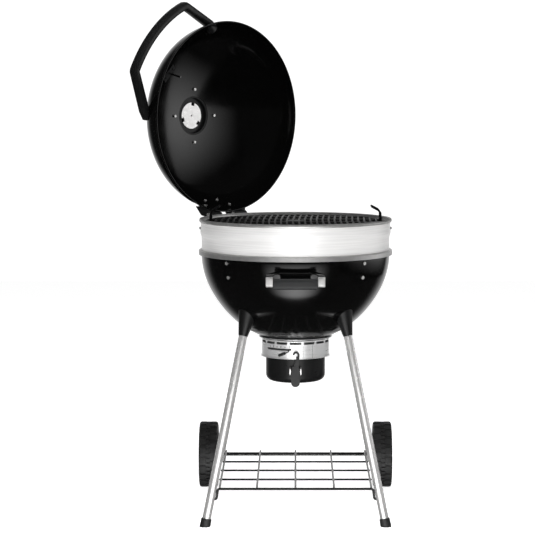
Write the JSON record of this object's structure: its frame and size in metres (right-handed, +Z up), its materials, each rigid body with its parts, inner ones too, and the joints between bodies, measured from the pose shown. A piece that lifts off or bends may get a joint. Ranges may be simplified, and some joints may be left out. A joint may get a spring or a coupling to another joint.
{
  "type": "kettle charcoal grill",
  "caption": "Kettle charcoal grill on four legs with a hinged domed lid, deep ringed bowl, lift-out grate, swept ash pot, wire rack and wheels.",
  "frame": {"origin": "on the floor under the kettle's upright axis", "axes": "+Z up, -Y is the grill's front with the bowl's handle, +X its right; the open lid stands at the rear left"},
  "size_m": [0.807, 0.8015, 1.5434],
  "materials": {
    "black_enamel": "gloss porcelain enamel",
    "ring_steel": "brushed round the ring",
    "collar_steel": "satin stainless",
    "leg_steel": "satin tube",
    "bright_fastener": "bright plated",
    "dark_fastener": "black plated",
    "cast_iron": "matt enamelled cast iron",
    "black_wire": "gloss coated wire",
    "coal_wire": "plain steel rod",
    "bracket_steel": "plain sheet steel",
    "black_plastic": "satin black moulding",
    "grip_plastic": "dark grey satin moulding",
    "cap_aluminium": "matt",
    "black_plate": "satin powder coat",
    "pot_black": "satin high-heat coating",
    "foot_rubber": "matt",
    "tyre_rubber": "matt moulded tread",
    "damper_metal": "satin",
    "case_steel": "satin stainless",
    "dial_face": "printed face",
    "needle_red": "satin red",
    "dial_glass": "clear"
  },
  "bodies": {
    "stand": {"bowl": "black_enamel", "bowl_screws": "bright_fastener", "steel_ring": "ring_steel", "ring_bolts": "dark_fastener", "grate_supports": "bracket_steel", "charcoal_brackets": "bracket_steel", "bowl_handle_frame": "black_plate", "bowl_handle_grip": "grip_plastic", "bowl_handle_end_caps": "cap_aluminium", "bowl_handle_bolts": "dark_fastener", "leg_front_left": "leg_steel", "leg_front_right": "leg_steel", "leg_rear_left": "leg_steel", "leg_rear_right": "leg_steel", "sleeve_front_left": "black_plastic", "sleeve_front_right": "black_plastic", "sleeve_rear_left": "black_plastic", "sleeve_rear_right": "black_plastic", "foot_left": "foot_rubber", "foot_right": "foot_rubber", "leg_bolts": "dark_fastener", "axle": "bright_fastener", "rack_cross_wires": "black_wire", "rack_long_wires": "black_wire", "vent_collar": "collar_steel", "ring_hinge_bracket": "black_plate", "ring_hinge_bolts": "dark_fastener", "hinge_pins": "bright_fastener"},
    "lid": {"lid_shell": "black_enamel", "lid_handle": "black_plastic", "lid_handle_screws": "bright_fastener", "lid_hinge_bracket": "black_plate", "lid_hinge_screws": "bright_fastener", "vent_base": "black_plastic", "vent_base_screws": "bright_fastener", "vent_rain_cap": "black_plastic", "thermometer_case": "case_steel", "thermometer_dial": "dial_face", "thermometer_glass": "dial_glass", "thermometer_backplate": "black_plate"},
    "lid_damper": {"vent_damper": "damper_metal", "vent_knob": "black_plastic"},
    "needle": {"thermometer_needle": "needle_red"},
    "grate": {"cooking_grate": "cast_iron", "grate_handles": "cast_iron"},
    "coal_grate": {"charcoal_grate": "coal_wire"},
    "wheel_left": {"tyre_left": "tyre_rubber", "hub_left": "black_plastic", "hub_cap_left": "black_plastic"},
    "wheel_right": {"tyre_right": "tyre_rubber", "hub_right": "black_plastic", "hub_cap_right": "black_plastic"},
    "sweeper": {"sweeper_blades": "bracket_steel", "sweeper_shaft": "bright_fastener", "sweeper_lever": "dark_fastener", "sweeper_grip": "black_plastic"},
    "pot": {"ash_pot": "pot_black", "pot_latch_loops": "bright_fastener"},
    "latch": {"pot_latch_lever": "black_plastic"}
  },
  "joints": [
    {"name": "lid_hinge", "type": "hinge", "parent": "stand", "child": "lid", "pos_m": [-0.21348, 0.21348, 0.88975], "axis": [-0.7071, -0.7071, 0], "range_deg": [-89.5, 0]},
    {"name": "lid_vent_turn", "type": "hinge", "parent": "lid", "child": "lid_damper", "pos_m": [-0.32577, 0.32577, 1.19305], "axis": [-0.7071, 0.7071, 0.0087], "range_deg": [0, 60]},
    {"name": "needle_turn", "type": "hinge", "parent": "lid", "child": "needle", "pos_m": [-0.39398, 0.20398, 1.32707], "axis": [-0.8408, 0.4683, 0.2715], "range_deg": [-240, 0]},
    {"name": "grate_lift", "type": "slide", "parent": "stand", "child": "grate", "axis": [0, 0, 1], "range_m": [0, 0.04]},
    {"name": "coal_grate_lift", "type": "slide", "parent": "stand", "child": "coal_grate", "axis": [0, 0, 1], "range_m": [0, 0.06]},
    {"name": "wheel_left_spin", "type": "hinge", "parent": "stand", "child": "wheel_left", "pos_m": [-0.2785, 0.35, 0.105], "axis": [1, 0, 0], "continuous": true},
    {"name": "wheel_right_spin", "type": "hinge", "parent": "stand", "child": "wheel_right", "pos_m": [0.2785, 0.35, 0.105], "axis": [1, 0, 0], "continuous": true},
    {"name": "sweeper_turn", "type": "hinge", "parent": "stand", "child": "sweeper", "pos_m": [0, 0, 0.52], "axis": [0, 0, 1], "range_deg": [-42, 0]},
    {"name": "ash_pot_drop", "type": "slide", "parent": "stand", "child": "pot", "axis": [0, 0, 1], "range_m": [-0.12, 0]},
    {"name": "pot_latch_turn", "type": "hinge", "parent": "pot", "child": "latch", "pos_m": [0, -0.104, 0.44], "axis": [1, 0, 0], "range_deg": [0, 15]}
  ]
}
